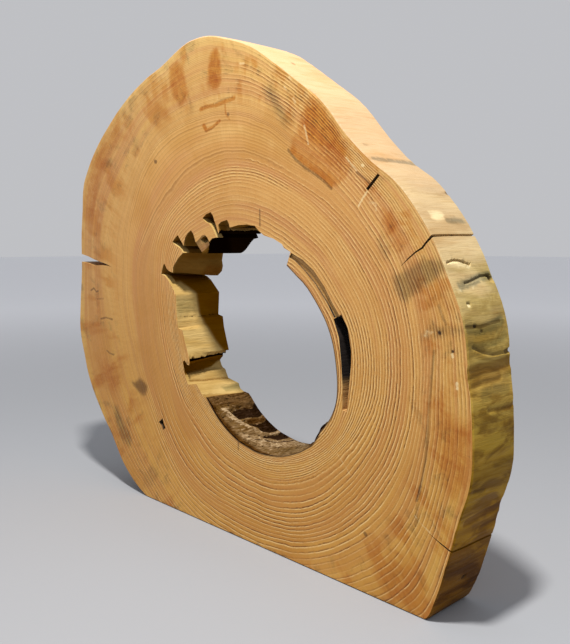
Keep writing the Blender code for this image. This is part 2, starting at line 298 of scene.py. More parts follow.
# Stains on the front face as closed outlines: kind, strength, softness of the edge, points
STAINS = [
    ("orange", 0.95, 2.5, [-5,389, -11,385, -14.7,373, -14,363, -9,357, -1,357, 3.3,362, 2.7,377,
        -0.7,387]),
    ("brown", 0.3, 2.5, [-4,386, -10,383, -13,372, -11,364, -4,362, 0,368, -1,380]),
    ("orange", 0.85, 4, [-67,385, -55,388, -47,380, -39,357, -50,348, -62,357, -67,370]),
    ("orange", 0.62, 2, [98,336, 105,335, 112,330, 120,320, 128,310, 136,298, 139,290, 134,283,
        130,278, 124,274, 119,273.5, 108,282, 98,288, 88,294, 78,302, 80,309, 86,315, 88,322,
        91,330]),
    ("orange", 1, 2.5, [101,333, 110,329, 120,317, 129,305, 135,294, 129,292, 122,297, 113,301,
        104,303, 96,308, 92,318, 94,328]),
    ("orange", 1, 1.6, [78,302, 88,294, 98,288, 108,282, 119,273.5, 124,277, 119,283, 108,288,
        98,293, 88,300, 82,306]),
    ("brown", 0.3, 2, [98,324, 108,318, 118,309, 122,303, 114,306, 103,311, 96,316]),
    ("orange", 0.75, 3, [163,260, 172,257, 177,243, 168,240, 162,250]),
    ("orange", 0.55, 3, [175,247, 183,238, 177,228, 168,233]),
    ("grey", 0.85, 4, [170.7,216, 193,227, 211.7,230, 215,223, 200,212, 183,200, 176.7,201.7,
        173,208]),
    ("orange", 0.7, 2.5, [191,219, 197,217, 196,212, 190,213]),
    ("grey", 0.6, 2.5, [191.7,179, 200,187, 215,189, 227,190, 229,185, 213,181, 197,177]),
    ("pale", 0.7, 1, [194,181.5, 199,184.5, 204,184, 203,181.5, 197,180]),
    ("orange", 0.7, 2.5, [206.7,145, 211.7,147, 213,133, 208,130]),
    ("brown", 0.5, 2.5, [185,143, 191.7,138, 198,130, 200,121, 193,125, 186.7,136]),
    ("orange", 0.7, 8, [205,137, 232,133, 232,96, 222,80, 205,97]),
    ("brown", 0.9, 3.5, [-138,107, -130,108, -121.7,113, -113,110, -107,105, -112,97, -117,95,
        -125,98, -132,102]),
    ("orange", 0.7, 4, [-142,92, -135,90, -133,82, -138,73, -143,77]),
    ("grey", 0.8, 4, [-172,78, -162,80, -153,67, -137,53, -140,40, -153,43, -167,57]),
    ("grey", 0.55, 3, [-118,23, -103,35, -92,32, -95,20, -110,8, -120,15]),
    ("orange", 0.6, 9, [-213,297, -190,327, -150,353, -140,333, -167,317, -187,287, -193,263,
        -215,263]),
    ("orange", 0.35, 6, [-200,187, -188,190, -187,167, -197,157]),
    ("orange", 0.5, 10, [-200,120, -180,127, -157,120, -150,100, -170,87, -193,100]),
    ("grey", 0.5, 4, [158,240, 163,245, 172,232, 166,224, 158,228]),
    ("grey", 0.8, 6, [50,350, 60,353, 72,335, 80,322, 74,318, 60,332]),
    ("brown", 0.35, 2, [-27,109, -19,107, -3,91, -8,88, -20,98]),
    ("orange", 0.45, 6, [-122,44, -110,46, -106,36, -116,33]),
    ("grey", 0.35, 4, [-42,14, -36,13, -37,3, -42,4]),
    ("orange", 0.4, 4, [132,9, 143,9, 142,2, 132,2]),
    ("orange", 0.4, 4, [163,20, 172,19, 171,12, 164,12]),
]

# Fine lines and specks on the front face: kind, strength, half width, points
STROKES = [
    ("dark", 0.55, 0.9, [77,303, 84,296, 94,289, 103,284.5, 112,279, 119,273.5]),
    ("grey", 0.7, 0.9, [204,172, 202.5,155, 201.5,140, 200.5,122, 199.5,104, 197,90, 193.5,76]),
    ("dark", 0.45, 0.9, [206.5,200, 209,194, 212,189]),
    ("dark", 1, 0.9, [207.3,183.7, 207.8,183.4]),
    ("dark", 0.6, 0.8, [-208,190, -202,192.5, -197.5,189, -194,190]),
    ("dark", 0.6, 0.8, [-190,162.5, -180,164.5, -168,163.5]),
    ("dark", 0.5, 0.8, [-180,131.7, -174,129.5, -167,129]),
    ("dark", 0.4, 0.8, [-196,182, -184,183]),
    ("orange", 0.9, 1.4, [-24,344, -17,345, -8,345]),
    ("orange", 0.9, 1.3, [-5,344.5, 7,346, 18,347]),
    ("brown", 0.5, 0.7, [-22,345.5, -6,346, 2,347.5, 16,348.5]),
    ("orange", 0.6, 0.8, [6.7,345, 7.5,337, 12,332]),
    ("orange", 1, 1.5, [-20,330.5, -17.5,327.5]),
    ("orange", 0.9, 1.1, [-16.5,326.5, -8,328.5, 0,332]),
    ("brown", 0.55, 0.7, [-18,326, -10,327, -3,330]),
    ("dark", 0.6, 1.1, [10.3,336, 10.8,335.6]),
    ("pale", 0.3, 0.5, [-3,357, 0,320, 2,300, 5,270]),
    ("pale", 0.5, 0.5, [192,66, 198,61.5, 205,57.5]),
    ("pale", 0.45, 0.45, [123,95, 130,88, 138,80]),
    ("pale", 0.7, 0.6, [132,293, 137,288, 141,284]),
    ("pale", 0.7, 0.7, [150,270, 146.5,266, 143,261]),
    ("pale", 0.5, 0.9, [152,263, 157,262, 157.5,258]),
    ("pale", 0.8, 0.8, [145.5,287.2, 146.5,286.6]),
    ("dark", 0.6, 0.7, [141,283, 147,279, 152,275]),
    ("pale", 0.6, 0.8, [25,371.2, 30,370.5]),
    ("pale", 0.6, 0.7, [73,347, 75,345]),
    ("pale", 0.6, 0.7, [78,353, 80,351]),
    ("pale", 0.6, 1, [82,338, 84,335]),
    ("pale", 0.6, 0.8, [93,318, 95,312, 97,305]),
    ("pale", 0.8, 0.8, [216.8,171.5, 217.2,170]),
    ("dark", 1, 0.7, [217.2,173.4, 217.3,173.2]),
    ("pale", 0.8, 0.9, [220.5,154.5, 220.8,151.5]),
    ("dark", 0.7, 1.4, [-90,308, -88.6,307.6]),
    ("dark", 0.6, 1.2, [151.8,42, 152.4,41.6]),
    ("dark", 0.6, 0.7, [46.5,262, 46.7,250]),
    ("dark", 0.6, 0.7, [20,80, 20,73]),
    ("dark", 0.4, 1.1, [196,86, 194,72, 193,60]),
    ("dark", 0.35, 1, [201.7,70, 207,63, 211.7,56.7]),
]

# Marks on the right half of the rim, with depth behind the front face and height in turn.
# The number before the shape is the depth of the cut.
RIM_STAINS_AND_HIGHLIGHT = [
    ("pale", 0.6, 2.5, 0, [7,253.4, 9,257, 19.5,257.8, 25.5,256, 21,251.2, 10,250.1]),
    ("grey", 0.9, 1.5, 0, [22.5,252.7, 33,253.4, 43,252.7, 42,249.4, 26,249, 20.5,250.1]),
    # painted highlight: the pale mark below the gallery
    ("pale", 0.65, 1.2, 0, [3.5,224.9, 8,225.9, 14,226.1, 19,224.7, 25,222.9, 22.5,221.4,
        14,222.6, 7,223.8]),
    ("pale", 0.7, 1, 0, [2,210.8, 8,210.4, 7,208.6, 3,208.8]),
    ("pale", 0.7, 1, 0, [17,212, 22,212.4, 18,209]),
    ("grey", 0.5, 3, 0, [3,213, 14,214.5, 30,219, 44,220, 44,214, 25,212.5, 8,208.5]),
    ("brown", 0.4, 3, 0, [23.5,179, 36,175.5, 31.5,172.4, 22.5,175]),
    ("brown", 0.55, 3, 0, [36,133, 46,130, 46,119, 37,122]),
    ("brown", 0.6, 5, 0, [-2,104, 46,107, 46,90, -2,88]),
    ("brown", 0.5, 5, 0, [-2,44, 46,47, 46,30, -2,27]),
]
RIM_STROKES = [
    ("dark", 0.5, 1, 0.3, [20.5,368.5, 21.5,368.5]),
    ("dark", 0.4, 0.8, 0.2, [8,301.8, 11,301.6]),
    ("grey", 0.8, 1.2, 0.2, [3,291, 16,290.6, 35,290.6, 44,290.3]),
    ("brown", 0.45, 0.8, 0.1, [1.5,269, 14,268.7, 27,268.4, 44,269]),
    ("dark", 0.6, 1, 0.3, [43.5,269.4, 44.8,269.4]),
    ("dark", 0.7, 0.45, 1.5, [3,225.3, 8,226.7, 13.5,226.9, 18,225.8, 23.5,224.2]),
    ("grey", 0.9, 2.2, 0.2, [7,211.3, 12.5,212.4, 22,214.2, 32,216.4, 42,217]),
    ("dark", 0.55, 0.6, 1.1, [12.5,213, 22,214.9, 32,216.9, 42,217.4]),
    ("dark", 0.9, 1.4, 2.2, [40.5,215.6, 42,215]),
    ("dark", 0.7, 0.7, 0.6, [7.8,201.4, 9.8,201.4]),
    ("pale", 0.7, 0.8, 0.3, [8,200.1, 9.2,200.1]),
    ("brown", 0.5, 1, 0.1, [28.5,195.8, 40.5,194.5]),
    ("brown", 0.8, 0.9, 0.3, [1.5,188.1, 15,187.6, 27,189, 36,189.8]),
    ("grey", 0.8, 2.6, 0.2, [4,186.2, 15,185.4, 27,187, 38,189.8]),
    ("grey", 0.6, 2.4, 0.1, [2,178, 14,176.5, 28,177.5, 40,181]),
    ("grey", 0.6, 3, 0.1, [12,147, 24,149, 38,147]),
    ("dark", 0.9, 0.8, 0.5, [9.6,188.2, 10.6,188.1]),
    ("dark", 0.7, 0.8, 0.4, [15.2,185, 16,184.9]),
    ("dark", 0.5, 0.9, 0.8, [6,176, 15,172.6, 26,170.4, 36.5,170.4, 45,171.3]),
    ("dark", 0.8, 1.2, 0.5, [40,170.6, 46,171.3]),
    ("brown", 0.9, 3, 0.8, [-1,160.5, 13,162.9, 26,162.9, 41,164]),
    ("brown", 0.7, 2.4, 0.5, [-1,154.2, 12,156.3, 20.5,156.3, 30,156.6]),
    ("brown", 0.7, 1.2, 0.3, [16,137.6, 28.5,136.7, 39.5,136.7, 45,138.5]),
    ("dark", 0.4, 1.2, 0.3, [4.5,90.1, 15.5,88.3]),
    ("brown", 0.8, 2.4, 0.4, [7.5,68, 22,70, 36.5,70.4, 45,73]),
    ("brown", 0.6, 2.4, 0.3, [0,62, 20,61.5, 45,62.5]),
    ("dark", 0.8, 1.3, 0.6, [23.5,24.7, 25.5,24.7]),
    ("brown", 0.8, 2.2, 0.3, [2,38, 22,37, 40,38]),
    ("brown", 0.8, 2.2, 0.3, [4,18, 24,17, 42,18]),
]

# Marks on the wall of the hole, with their cuts. On its left side a place is depth and
# height, on its floor and under its top it is depth and x.
LEFT_STAINS_AND_SHADE = [
    ("grey", 0.55, 3, 0, [0,190, 20,190, 20,176, 0,176]),
    # painted shade: the three brown marks below are the lamp's shadow deep in the wall, the hollow
    # under the torn lip and the upper part of the wall, which faces down
    ("brown", 1, 2.5, 0, [0,203, 12,203, 16,199, 20.5,194, 22.5,182, 25,168, 32,152, 39,141,
        48,139, 48,210, 0,212]),
    ("brown", 1, 0.9, 0, [-1,138.5, 46,139.5, 46,132, 33,126.6, 21,125.2, 7.8,124.6, -1,124]),
    ("brown", 0.85, 3, 0, [-1,207, 46,206, 46,232, -1,232]),
    ("orange", 0.5, 3, 0, [28,219, 46,219, 46,208, 27,208]),
    ("grey", 0.8, 2, 0, [24,113.5, 46,114, 46,108.5, 27,109]),
]
LEFT_STROKES = [
    # painted shade: the dark line under the torn lip
    ("dark", 1, 1, 0, [2,137, 12,137.2, 24,137.6, 36,137.8, 46,138]),
    ("dark", 0.5, 0.5, 0.3, [3.5,173.4, 24,173, 46,173.5]),
    ("dark", 0.35, 0.5, 0.2, [0,162.9, 14.5,163.9]),
    ("brown", 0.6, 0.6, 0.5, [3,118.8, 20,117.3, 44,116.6]),
]
FLOOR_STAINS = [
    ("brown", 0.6, 2.5, 0, [-1,-28, 46,-24, 46,-8, 30,-11, 19,-13, -1,-15]),
    ("dark", 1, 2, 2.4, [16,-9.5, 24,-11.5, 46,-11, 46,-1, 32,-2, 20,-2.5]),
    ("brown", 0.8, 1, 0.6, [24,-1, 46,0, 46,4, 27,2.5]),
    ("dark", 1, 2, 2.4, [25,2.2, 46,4, 46,18.5, 38,18, 31,15.5, 31,10, 27,6]),
    ("dark", 1, 2, 1.8, [23,18.5, 34,20.5, 46,22, 46,33, 34,30, 28,24.5]),
    ("pale", 0.6, 2, -0.4, [8,-14, 17,-10, 21,-1, 30,13, 36,19, 46,18.5, 46,21.5, 33,20.5, 24,13,
        16,3, 10,-6]),
    ("pale", 0.5, 3, -0.3, [7,10, 17,14, 27,26, 46,38, 46,56, 36,54, 20,44, 10,26]),
    ("grey", 0.4, 3, 0, [22,45, 40,52, 28,70, 9,66, 9,48]),
    ("brown", 0.9, 3, 0, [-1,-18, 4,-18, 6,0, 7,30, 4,50, -1,60]),
    ("brown", 1, 2, -1.6, [46,54, 36,64, 18,84, -1,104, -1,118, 46,118]),
    ("dark", 0.75, 3, -1.6, [46,58, 36,68, 18,88, -1,106, -1,118, 46,118]),
]
FLOOR_STROKES = [
    ("dark", 0.7, 0.8, 0.6, [16,22, 24,27.5, 31,34, 46,39]),
    ("dark", 0.6, 0.7, 0.5, [4,22, 11,31, 20,41, 30,48]),
    ("dark", 1, 1.3, 0, [0,-19, 0,40, 0,118]),
]
TOP_STAINS_AND_SHADE = [
    # the dark mark is the underside of the top piece, dark in itself and darkened further as
    # painted shade, as it faces down
    ("dark", 1, 1.5, 0, [22,-50, 0,-14, -1,8, 12,14, 14,30, -1,40, -1,60, 46,60, 46,-50]),
    ("brown", 0.9, 1.5, 0, [-1,4, 13,10, 15,32, -1,44]),
    # painted shade: the wide brown mark on the wall left of the underside
    ("brown", 0.9, 3, 0, [-1,-90, 46,-90, 46,-40, -1,10]),
]
# Rows of x and height of the black underside of the piece at the top of the hole
UNDERSIDE = [(-66, 234), (-47, 239), (-25, 243), (-14, 244), (0, 247), (20, 250), (60, 256)]

KINDS = ("orange", "grey", "brown", "pale", "dark")


def outline_distance(points, shape, closed):
    """Distance of points to a line or to the edge of a closed shape, below 0 inside."""
    shape = as_points(shape)
    ends = np.vstack([shape, shape[:1]]) if closed else shape
    best = np.full(len(points), 1e9)
    within = np.zeros(len(points), bool)
    for a, b in zip(ends[:-1], ends[1:]):
        ab = b - a
        t = ((points - a) @ ab) / max(ab @ ab, 1e-12)
        near = a + np.clip(t, 0, 1)[:, None] * ab
        best = np.minimum(best, np.hypot(*(points - near).T))
        if closed:
            cross = (a[1] > points[:, 1]) != (b[1] > points[:, 1])
            with np.errstate(divide="ignore", invalid="ignore"):
                x = a[0] + (points[:, 1] - a[1]) / (b[1] - a[1]) * (b[0] - a[0])
            within ^= cross & (points[:, 0] < x)
    return np.where(within, -best, best) if closed else best


def smooth_step(x):
    x = np.clip(x, 0.0, 1.0)
    return x * x * (3 - 2 * x)


def surface_marks(points, closed_marks, strokes=()):
    """Strength of each kind of mark, and the depth cut by it, at points of one surface."""
    out = {k: np.zeros(len(points)) for k in KINDS}
    cut = np.zeros(len(points))
    for table, closed, start, slope in ((closed_marks, True, 0.5, 1.0), (strokes, False, 1.5, 1.5)):
        for kind, strength, soft, *depth, shape in table:
            away = outline_distance(points, shape, closed)
            near = smooth_step(start - away / (2 * soft) * slope)
            out[kind] = np.maximum(out[kind], strength * near)
            if depth:
                cut += depth[0] * near
    return out, cut


def all_wall_marks(x, depth, z, part):
    """Marks and cuts of every part of the wall, for points in millimetres."""
    out = {k: np.zeros(len(x)) for k in KINDS}
    cut = np.zeros(len(x))
    charts = [
        ((part == RIM) & (x > 0), z, RIM_STAINS_AND_HIGHLIGHT, RIM_STROKES),
        ((part == HOLE) & (x < 0) & (z > 107.5) & (z < 226), z, LEFT_STAINS_AND_SHADE, LEFT_STROKES),
        ((part == HOLE) & (z <= 111) & (x > -27), x, FLOOR_STAINS, FLOOR_STROKES),
        ((part == HOLE) & (z > 224) & (x < 60), x, TOP_STAINS_AND_SHADE, ()),
    ]
    for here, along, closed_marks, strokes in charts:
        marks, depths = surface_marks(np.stack([depth[here], along[here]], 1), closed_marks, strokes)
        for kind in KINDS:
            out[kind][here] = np.maximum(out[kind][here], marks[kind])
        cut[here] = depths
    # painted shade: the notches above the black underside are browned where their walls lie in
    # shade, and lose the dark mark
    under = np.array(UNDERSIDE, float)
    notch = smooth_step((z - np.interp(x, under[:, 0], under[:, 1])) / 2.0)
    notch *= (part == HOLE) & (z > 230) & (x < 60)
    out["dark"] *= 1 - notch
    out["brown"] = np.maximum(out["brown"], 0.75 * notch)
    return out, cut


def fine_points(strokes):
    """Extra mesh points, in metres, where the front face carries fine strokes."""
    made = []
    for _, _, half, shape in strokes:
        p = as_points(shape)
        low, high = p.min(0) - 2 * half - 0.6, p.max(0) + 2 * half + 0.6
        xs = np.arange(low[0], high[0], FINE_STEP / MM)
        zs = np.arange(low[1], high[1], FINE_STEP / MM * 0.87)
        gx, gz = np.meshgrid(xs, zs)
        gx[1::2] += FINE_STEP / MM / 2
        grid = np.stack([gx.ravel(), gz.ravel()], 1)
        made.append(grid[outline_distance(grid, shape, False) < 2 * half + 0.5])
    return np.vstack(made) * MM


# Mesh of the slice

def open_wall():
    """The CAD solid without its front and back faces, as a fine mesh."""
    bm = bmesh.new()
    bm.from_mesh(frame["nodes"]["wood_slice"].data)
    bmesh.ops.remove_doubles(bm, verts=bm.verts, dist=SAME_POINT)
    bmesh.ops.dissolve_degenerate(bm, dist=2e-5, edges=bm.edges)
    flat = [
        f for f in bm.faces
        if all(v.co.y < FRONT + ON_FACE for v in f.verts)
        or all(v.co.y > BACK - ON_FACE for v in f.verts)
    ]
    bmesh.ops.delete(bm, geom=flat, context="FACES")
    bands = int(round((BACK - FRONT) / WALL_STEP))
    for i in range(1, bands):
        y = FRONT + (BACK - FRONT) * i / bands
        near = [v for v in bm.verts if abs(v.co.y - y) < 0.15 * MM]
        if near:
            continue
        bmesh.ops.bisect_plane(
            bm, geom=bm.verts[:] + bm.edges[:] + bm.faces[:], dist=1e-6,
            plane_co=(0, y, 0), plane_no=(0, 1, 0),
        )
    for _ in range(5):
        bmesh.ops.triangulate(bm, faces=[f for f in bm.faces if len(f.verts) > 3])
        long = [e for e in bm.edges if e.calc_length() > WALL_STEP * 1.45]
        if not long:
            break
        bmesh.ops.subdivide_edges(bm, edges=long, cuts=1)
    bmesh.ops.triangulate(bm, faces=[f for f in bm.faces if len(f.verts) > 3])
    return bm


def drop_fins(bm):
    """Removes pairs of faces that share all their corners, and what they leave loose."""
    bm.verts.index_update()
    seen = {}
    for f in bm.faces:
        seen.setdefault(frozenset(v.index for v in f.verts), []).append(f)
    pairs = [f for group in seen.values() if len(group) > 1 for f in group]
    bmesh.ops.delete(bm, geom=pairs, context="FACES_ONLY")
    loose = [e for e in bm.edges if not e.link_faces]
    bmesh.ops.delete(bm, geom=loose, context="EDGES")
    lone = [v for v in bm.verts if not v.link_faces]
    bmesh.ops.delete(bm, geom=lone, context="VERTS")


def knot_pit(x, z):
    """Which points lie in the knot pit at the lower left."""
    return (x < -80) & (x > -93) & (z > 68) & (z < 82)


def regions(co, rows, counts):
    """Part of the wall that each point is on, as RIM, INNER, HOLE or BASE, and its ring."""
    x, y, z = (co / MM).T
    ring, _ = ring_count(x, z, rows, counts)
    found = np.where(ring < 60.0, HOLE, RIM)
    crack = (ring > GAP_RING) & (x > 40) & (z > 115) & (z < 240) & (ring < 50)
    crack |= ((x < -160) & (z > 211) & (z < 229)) | ((x > 176) & (z > 220) & (z < 244))
    crack |= (x > 200) & (z > 44) & (z < 60)
    slit = (x > 148) & (x < 162) & (z > 269) & (z < 282)
    found[crack | slit | knot_pit(x, z)] = INNER
    found[ring > 79.0] = RIM
    found[z < 0.3] = BASE
    return found, ring


def decay_and_black(x, z, ring):
    """How far the hole's wall is decayed, and how far it is black, from 0 to 1."""
    angle = np.degrees(np.arctan2(z - PITH[1], x - PITH[0]))
    low = smooth_step((angle + 139) / 4) * smooth_step((75 - angle) / 12)
    # the black on the hole's right wall is partly dark wood and partly painted shade, as that wall
    # faces away from the lamp
    black = 0.8 * smooth_step((angle + 42) / 12) * smooth_step((100 - angle) / 12)
    gap = (ring > GAP_RING) & (x > 110) & (z > 115) & (z < 195)
    black = np.where(knot_pit(x, z), 0.9, black)
    # painted shade: in the gap the black rises with height, deep in the crack
    return low, np.where(gap, smooth_step((z - 138) / 8), black)


def refine_wall(bm, rows, counts):
    """Splits the wall's long edges where a gallery, crack or torn edge is cut into it."""
    shapes = [(shape, half) for _, _, half, depth, shape in RIM_STROKES if depth > 0.25]
    for _ in range(2):
        edges = bm.edges[:]
        mid = np.array([(e.verts[0].co + e.verts[1].co) / 2 for e in edges])
        size = np.array([e.calc_length() for e in edges])
        part, _ = regions(mid, rows, counts)
        flat = np.stack([(mid[:, 1] - FRONT) / MM, mid[:, 2] / MM], 1)
        near = np.zeros(len(edges), bool)
        for shape, half in shapes:
            near |= outline_distance(flat, shape, False) < 2 * half + 1.2
        pick = near & (size > 1.2 * MM) & (part == RIM) & (mid[:, 0] > 0.05)
        hole = (part == HOLE) & (size > 1.7 * MM)
        torn = (part == HOLE) & (size > 0.9 * MM) & (mid[:, 0] < -0.04)
        pick |= torn & (mid[:, 2] > 0.134) & (mid[:, 2] < 0.143)
        pick |= hole & (mid[:, 0] < -0.04) & (mid[:, 2] > 0.119) & (mid[:, 2] < 0.144)
        pick |= hole & (mid[:, 2] < 0.205) & (mid[:, 0] < 0.06)
        chosen = [e for e, p in zip(edges, pick) if p]
        bmesh.ops.subdivide_edges(bm, edges=chosen, cuts=1)
        bmesh.ops.triangulate(bm, faces=[f for f in bm.faces if len(f.verts) > 3])


def add_relief(bm, rows, counts):
    """Moves the wall's points sideways for grain, torn fibres, decay and galleries."""
    verts = bm.verts[:]
    bm.normal_update()
    co = np.array([v.co for v in verts])
    normal = np.array([v.normal for v in verts])
    normal[:, 1] = 0.0
    size = np.linalg.norm(normal, axis=1)
    normal /= np.maximum(size, 1e-6)[:, None]
    normal[size < 0.35] = 0.0
    part, ring = regions(co, rows, counts)
    x, y, z = (co / MM).T
    decay, _ = decay_and_black(x, z, ring)
    depth = y + HALF_MM
    away = smooth_step(depth / 3.0) * smooth_step((2 * HALF_MM - depth) / 3.0)
    _, cut = all_wall_marks(x, depth, z, part)
    move = np.zeros(len(verts))
    for i in range(len(verts)):
        a, b, c = x[i], y[i], z[i]
        if part[i] == RIM:
            move[i] = 0.2 * noise.noise((a / 6, b / 70, c / 6))
            move[i] += 0.1 * noise.noise((a / 2.4, b / 30, c / 2.4))
        elif part[i] == HOLE:
            fresh = 0.3 * noise.noise((a / 4, b / 45, c / 4))
            fresh += 0.15 * noise.noise((a / 1.8, b / 14, c / 1.8))
            old = -0.7 + 1.0 * noise.noise((a / 8, b / 16, c / 8))
            old += 0.6 * noise.noise((a / 2.8, b / 5, c / 2.8))
            move[i] = fresh * (1 - decay[i]) + old * decay[i] * away[i]
        elif part[i] == INNER:
            move[i] = 0.08 * noise.noise((a / 3, b / 14, c / 3))
    edge = (depth < 0.01) | (depth > 2 * HALF_MM - 0.01)
    move[edge] *= 0.35
    move -= cut * np.where(part == RIM, 1.0, away)
    co += normal * (move * MM)[:, None]

    # the torn lip on the left of the hole, and the hollow under it
    lip = (part == HOLE) & (x < -40) & (z > 119) & (z < 144)
    under = smooth_step((z - 124.0) / 1.5) * smooth_step((139.3 - z) / 0.6)
    push = 4.6 * under * smooth_step(depth / 4.0) * smooth_step((52.0 - depth) / 10.0)
    tooth = np.array([
        noise.noise((b / 3.1, 0.0, 4.7)) + 0.6 * noise.noise((b / 1.3, 0.0, 9.1)) for b in y
    ])
    hang = smooth_step((z - 138.0) / 1.2) * smooth_step((143.5 - z) / 4.0)
    co[:, 0] -= np.where(lip, push, 0.0) * MM
    co[:, 2] += np.where(lip & ~edge, 2.2 * tooth * hang, 0.0) * MM
    co = np.clip(co, np.array(CAD_LOW), np.array(CAD_HIGH))
    for v, p in zip(verts, co):
        v.co = p


def dark_edge(bm, rows, counts):
    """Front edge of the hole where it is decayed, as points in order, in millimetres."""
    co = np.array([v.co for v in bm.verts if v.co.y < FRONT + ON_FACE])
    part, ring = regions(co, rows, counts)
    x, _, z = (co / MM).T
    decay, _ = decay_and_black(x, z, ring)
    pick = (part == HOLE) & (decay > 0.6) & (ring < 45)
    angle = np.arctan2(z[pick] - PITH[1], x[pick] - PITH[0])
    order = np.argsort(angle)
    return np.stack([x[pick][order], z[pick][order]], 1)


def inside(points, segments):
    """Even-odd test of many points against the boundary segments of a face."""
    hits = np.zeros(len(points), int)
    for (ax, az), (bx, bz) in segments:
        cross = (az > points[:, 1]) != (bz > points[:, 1])
        if not cross.any():
            continue
        x = ax + (points[cross, 1] - az) / (bz - az) * (bx - ax)
        hits[cross] += points[cross, 0] < x
    return hits % 2 == 1


def apart(points, others, least):
    """The points that are farther than the least distance from all the others."""
    tree = kdtree.KDTree(len(others))
    for i, p in enumerate(others):
        tree.insert((p[0], p[1], 0.0), i)
    tree.balance()
    near = np.array([tree.find((p[0], p[1], 0.0))[2] for p in points])
    return points[near > least]


def fill_flat(bm, y, step, fine_points):
    """Fills the open front or back with an even net of triangles."""
    edges = [
        e for e in bm.edges
        if e.is_boundary and all(abs(v.co.y - y) < ON_FACE for v in e.verts)
    ]
    rim = {}
    for e in edges:
        for v in e.verts:
            rim.setdefault(v, len(rim))
    border = np.array([(v.co.x, v.co.z) for v in rim])
    segments = [tuple((v.co.x, v.co.z) for v in e.verts) for e in edges]
    low, high = border.min(0), border.max(0)
    rows = int((high[1] - low[1]) / (step * ROW)) + 2
    cols = int((high[0] - low[0]) / step) + 3
    grid = np.array([
        (low[0] + (i - 0.5 * (j % 2)) * step, low[1] + j * step * ROW)
        for j in range(rows) for i in range(cols)
    ])
    rng = np.random.default_rng(SEED)
    grid += rng.uniform(-0.12, 0.12, grid.shape) * step
    grid = apart(grid[inside(grid, segments)], np.vstack([border, fine_points]), step * 0.55)
    fine_points = apart(fine_points[inside(fine_points, segments)], border, 0.4 * MM)
    points = np.vstack([border, grid, fine_points])
    found, _, faces, origin, _, _ = geometry.delaunay_2d_cdt(
        [Vector(p) for p in points],
        [(rim[e.verts[0]], rim[e.verts[1]]) for e in edges],
        [], 0, 1e-7, True,
    )
    corners = list(rim)
    verts = []
    for i, p in enumerate(found):
        first = min(origin[i]) if origin[i] else -1
        if 0 <= first < len(corners):
            verts.append(corners[first])
        else:
            verts.append(bm.verts.new((p[0], y, p[1])))
    place = np.array([(p[0], p[1]) for p in found])
    middle = np.array([place[list(f)].mean(0) for f in faces])
    keep = inside(middle, segments)
    for f, good in zip(faces, keep):
        if not good:
            continue
        a, b, c = (place[i] for i in f)
        turn = (b[0] - a[0]) * (c[1] - a[1]) - (b[1] - a[1]) * (c[0] - a[0])
        if (turn > 0) == (y > 0):
            f = f[::-1]
        bm.faces.new([verts[i] for i in f])


def make_slice():
    rows, counts = ring_table()
    bm = open_wall()
    refine_wall(bm, rows, counts)
    drop_fins(bm)
    add_relief(bm, rows, counts)
    # the dark line along the decayed front edge of the hole is partly dark decayed wood and partly
    # painted shade on the rounded edge
    strokes = STROKES + [("dark", 0.9, 0.75, dark_edge(bm, rows, counts))]
    fill_flat(bm, FRONT, FRONT_STEP, fine_points(strokes))
    fill_flat(bm, BACK, BACK_STEP, np.zeros((0, 2)))
    bmesh.ops.remove_doubles(bm, verts=bm.verts, dist=SAME_POINT)
    for e in bm.edges:
        e.smooth = e.calc_face_angle(0.0) < SHARP
    for f in bm.faces:
        f.smooth = True
    mesh = bpy.data.meshes.new("slice")
    bm.to_mesh(mesh)
    bm.free()
    give_marks(mesh, rows, counts, strokes)
    piece = bpy.data.objects.new("slice", mesh)
    bpy.context.scene.collection.objects.link(piece)
    return piece


def read_values(items, name):
    """Rows of three numbers, such as places or normals, from all items of a mesh."""
    values = np.zeros(len(items) * 3)
    items.foreach_get(name, values)
    return values.reshape(-1, 3)


def give_values(mesh, name, domain, value):
    made = mesh.attributes.new(name, "FLOAT", domain)
    made.data.foreach_set("value", value.astype(np.float32))


def give_marks(mesh, rows, counts, strokes):
    """Stores ring counts on points, marks on the faces' corners and parts as materials."""
    co = read_values(mesh.vertices, "co")
    x, y, z = (co / MM).T
    part, ring = regions(co, rows, counts)
    values = {"ring": ring, "width": soft_width(x, z, rows, counts)}
    values["decay"], values["black"] = decay_and_black(x, z, ring)
    for name, value in values.items():
        give_values(mesh, name, "POINT", value)

    centre = read_values(mesh.polygons, "center")
    normal = read_values(mesh.polygons, "normal")
    kind, _ = regions(centre, rows, counts)
    flat = np.abs(normal[:, 1]) > 0.9
    kind[flat & (np.abs(centre[:, 1]) > BACK - FACE_DEPTH * MM)] = FACE
    slot = np.array([0, 1, 2, 3, 2])[kind]
    for material in (face_material(), rim_material(), inner_material(), hole_material()):
        mesh.materials.append(material)
    mesh.polygons.foreach_set("material_index", slot.astype(np.int32))

    corner = np.zeros(len(mesh.loops), int)
    mesh.loops.foreach_get("vertex_index", corner)
    face = np.repeat(kind == FACE, 3)
    behind = y[corner] > 0.0
    # painted shade: the recessed parts of the flat faces, such as the groove, are browned
    recess = face & (np.abs(y[corner]) < HALF_MM - 0.3)
    # the lips of the notches that face up catch the lamp, so the painted shade of the brown and
    # dark marks is kept off them
    lit_lips = np.repeat(normal[:, 2] > 0.12, 3) & (z[corner] > 200) & (x[corner] < -3)
    lit_lips &= ~face & (part[corner] == HOLE) & (y[corner] < -16.0)
    on_face, _ = surface_marks(np.stack([x, z], 1), STAINS, strokes)
    through, _ = surface_marks(np.stack([x, z], 1), STAINS)
    on_wall, _ = all_wall_marks(x, y + HALF_MM, z, part)
    for name in KINDS:
        flat = np.where(behind, 0.8 * through[name][corner], on_face[name][corner])
        value = np.where(face, flat, on_wall[name][corner])
        if name == "brown":
            value = np.where(recess, 0.5, value)
        if name in ("brown", "dark"):
            value = np.where(lit_lips, 0.0, value)
        give_values(mesh, name, "CORNER", value)
    mesh.update()


